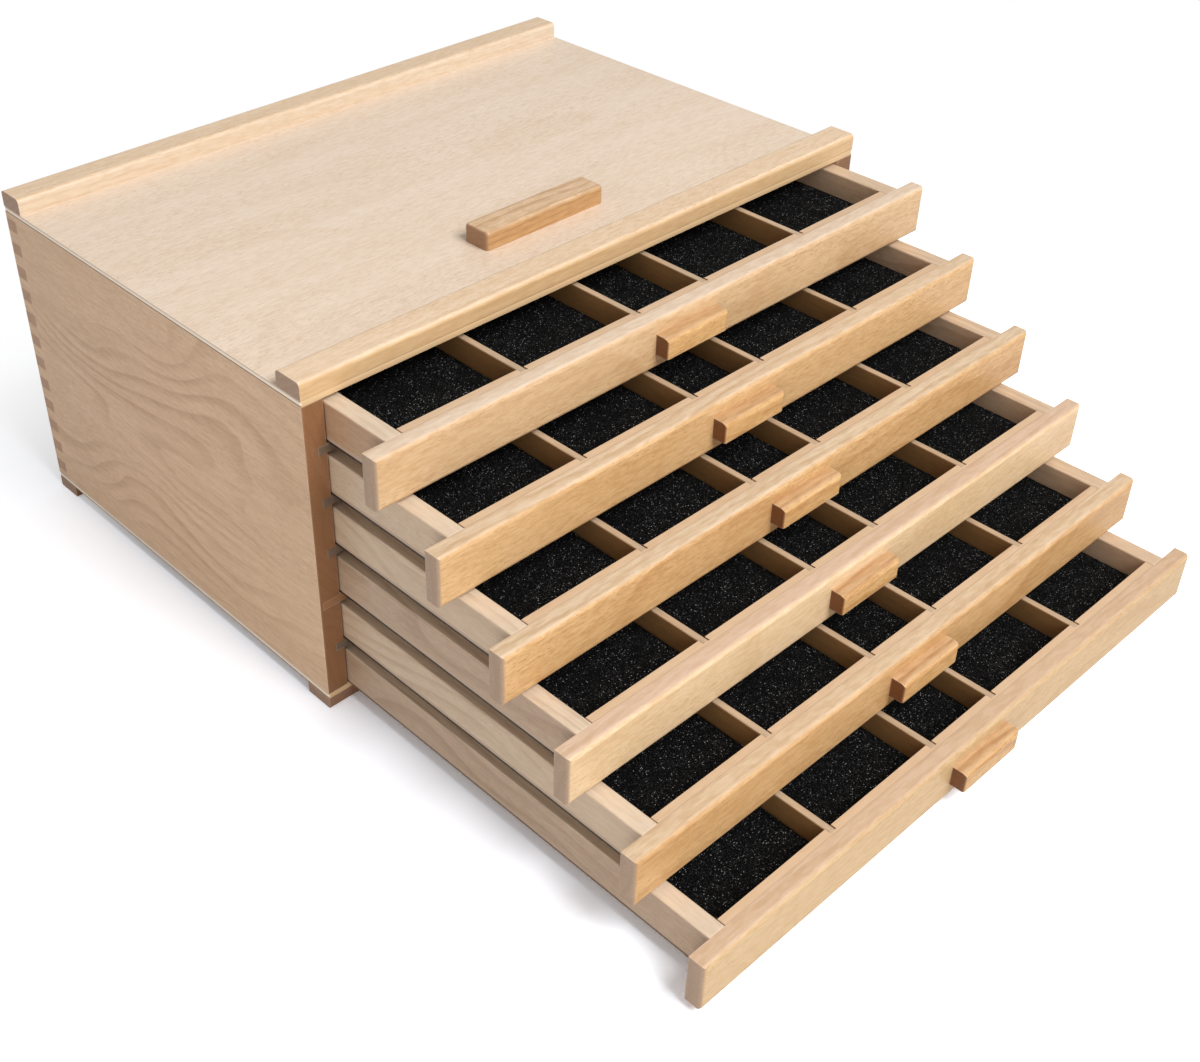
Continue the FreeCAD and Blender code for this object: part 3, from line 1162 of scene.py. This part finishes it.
@dataclass(frozen=True)
class Studio:
    """A white floor, a soft lamp high in front, a low one on the left, a sky and the camera."""

    floor_size: float = 12.0
    floor_white: float = 0.68
    floor_seen: Colour = (0.45, 0.465, 0.495)
    floor_layers: int = 3
    plain_centre: Triple = (0.08, -0.12, 0.0)
    plain_from: float = 0.37
    plain_past: float = 0.64
    sky: float = 0.42
    key: Softbox = Softbox("key", power=58.0, size=1.3, distance=2.6, direction=(0.05, -0.78, 1.0))
    fill: Softbox = Softbox("fill", power=5.0, size=0.6, distance=1.6, direction=(-0.9, -0.5, 0.2))
    camera_place: Triple = (-0.53335, -0.51149, 0.57317)
    camera_azimuth: float = -43.43
    camera_elevation: float = 35.96
    camera_roll: float = 0.25
    sensor_width: float = 36.0
    focal_length: float = 47.52
    lens_shift: tuple[float, float] = (0.057, -0.0371)

    def floor_shader(self, graph: Graph) -> Socket:
        """Build what the camera sees of the floor.

        Layers of plain diffuse white add up, so that the lit floor is white and keeps the box's
        shadow.  With the distance from the box they fade into a flat white.

        Args:
            graph: The floor's material.

        Returns:
            The shader.
        """
        seen = [graph.add("BsdfDiffuse") for _ in range(self.floor_layers)]
        for layer in seen:
            graph.feed(layer.inputs["Color"], self.floor_seen)
        bright = seen[0].outputs[0]
        for layer in seen[1:]:
            both = graph.add("AddShader")
            graph.feed_in_order(both, (bright, layer.outputs[0]))
            bright = both.outputs[0]
        plain = graph.add("Emission")
        spot = graph.add("TexCoord")
        away = graph.vector("DISTANCE", spot.outputs["Object"], self.plain_centre).node.outputs["Value"]
        fade = graph.add("MixShader")
        share = graph.ease(away, self.plain_from, self.plain_past)
        graph.feed_in_order(fade, (share, bright, plain.outputs[0]))
        return fade.outputs[0]

    def lay_floor(self) -> None:
        """Lay the floor, which only the camera sees brighter than it is."""
        half = self.floor_size / 2
        corners = np.array([(-half, -half, 0), (half, -half, 0), (half, half, 0), (-half, half, 0)])
        material, graph, surface = new_material("floor")
        surface.inputs["Roughness"].default_value = 1.0
        surface.inputs["Specular IOR Level"].default_value = 0.0
        surface.inputs["Base Color"].default_value = (self.floor_white,) * 3 + (1.0,)
        ray = graph.add("LightPath")
        choose = graph.add("MixShader")
        lit, seen = surface.outputs[0], self.floor_shader(graph)
        graph.feed_in_order(choose, (ray.outputs["Is Camera Ray"], lit, seen))
        graph.feed(material.node_tree.nodes["Material Output"].inputs["Surface"], choose.outputs[0])
        new_piece("floor", corners, np.array([[0, 1, 2, 3]]), material)

    def light(self) -> None:
        """Set the sky, which the camera sees as white, and hang the lamps."""
        world = bpy.data.worlds.new("sky")
        bpy.context.scene.world = world
        world.use_nodes = True
        graph = Graph(world.node_tree)
        background = world.node_tree.nodes["Background"]
        ray = graph.add("LightPath")
        strength = graph.math("MULTIPLY_ADD", ray.outputs["Is Camera Ray"], 1.0 - self.sky, self.sky)
        graph.feed(background.inputs["Color"], (1.0, 1.0, 1.0))
        graph.feed(background.inputs["Strength"], strength)
        self.key.hang()
        self.fill.hang()

    def place_camera(self) -> None:
        """Stand the camera where it looks down on the front left corner."""
        camera = bpy.data.cameras.new("camera")
        camera.sensor_width = self.sensor_width
        camera.lens = self.focal_length
        camera.shift_x, camera.shift_y = self.lens_shift
        view = bpy.data.objects.new("camera", camera)
        heading = Matrix.Rotation(math.radians(self.camera_azimuth), 4, "Z")
        tilt = Matrix.Rotation(math.radians(90 - self.camera_elevation), 4, "X")
        roll = Matrix.Rotation(math.radians(self.camera_roll), 4, "Z")
        view.matrix_world = Matrix.Translation(self.camera_place) @ heading @ tilt @ roll
        bpy.context.scene.collection.objects.link(view)
        bpy.context.scene.camera = view
        bpy.context.scene.view_settings.view_transform = "Standard"

    def build(self) -> None:
        """Lay the floor, light it and place the camera."""
        self.lay_floor()
        self.light()
        self.place_camera()
        log.info("studio: floor, sky, lamps and camera")


def main() -> None:
    """Build the case, the drawers and the studio."""
    groups = Groups(BeechGrain().build(), eased_edges_group(), PlyLayers().build(), FoamCells().build())
    Case(groups).dress()
    foam = FoamFinish().material(groups)
    # the fronts' edge colours hold a painted sheen on their tops, partly their own paler edge grain
    drawers = (
        # the top drawer's sides take the darker tan, a painted shade
        DrawerTones(Tone.GOLD, Tone.TAN, front_edge_and_sheen=linear(231, 210, 186)),
        DrawerTones(Tone.HONEY, Tone.ASH, front_edge_and_sheen=linear(224, 198, 168)),
        DrawerTones(Tone.AMBER, Tone.ASH, front_edge_and_sheen=linear(226, 203, 173)),
        DrawerTones(Tone.CREAM, Tone.ROSE, front_edge_and_sheen=linear(219, 189, 163)),
        DrawerTones(Tone.AMBER, Tone.ASH, front_edge_and_sheen=linear(222, 196, 164)),
        # the lowest drawer's foot line is a lighter brown
        DrawerTones(Tone.WHEAT, Tone.ROSE, front_edge_and_sheen=linear(213, 183, 153), foot_line_and_gap_shadow=linear(112, 86, 64)),
    )
    for number, tones in enumerate(drawers, 1):
        Drawer(number, tones, groups, foam).build()
    Studio().build()


if __name__ == "__main__":
    main()
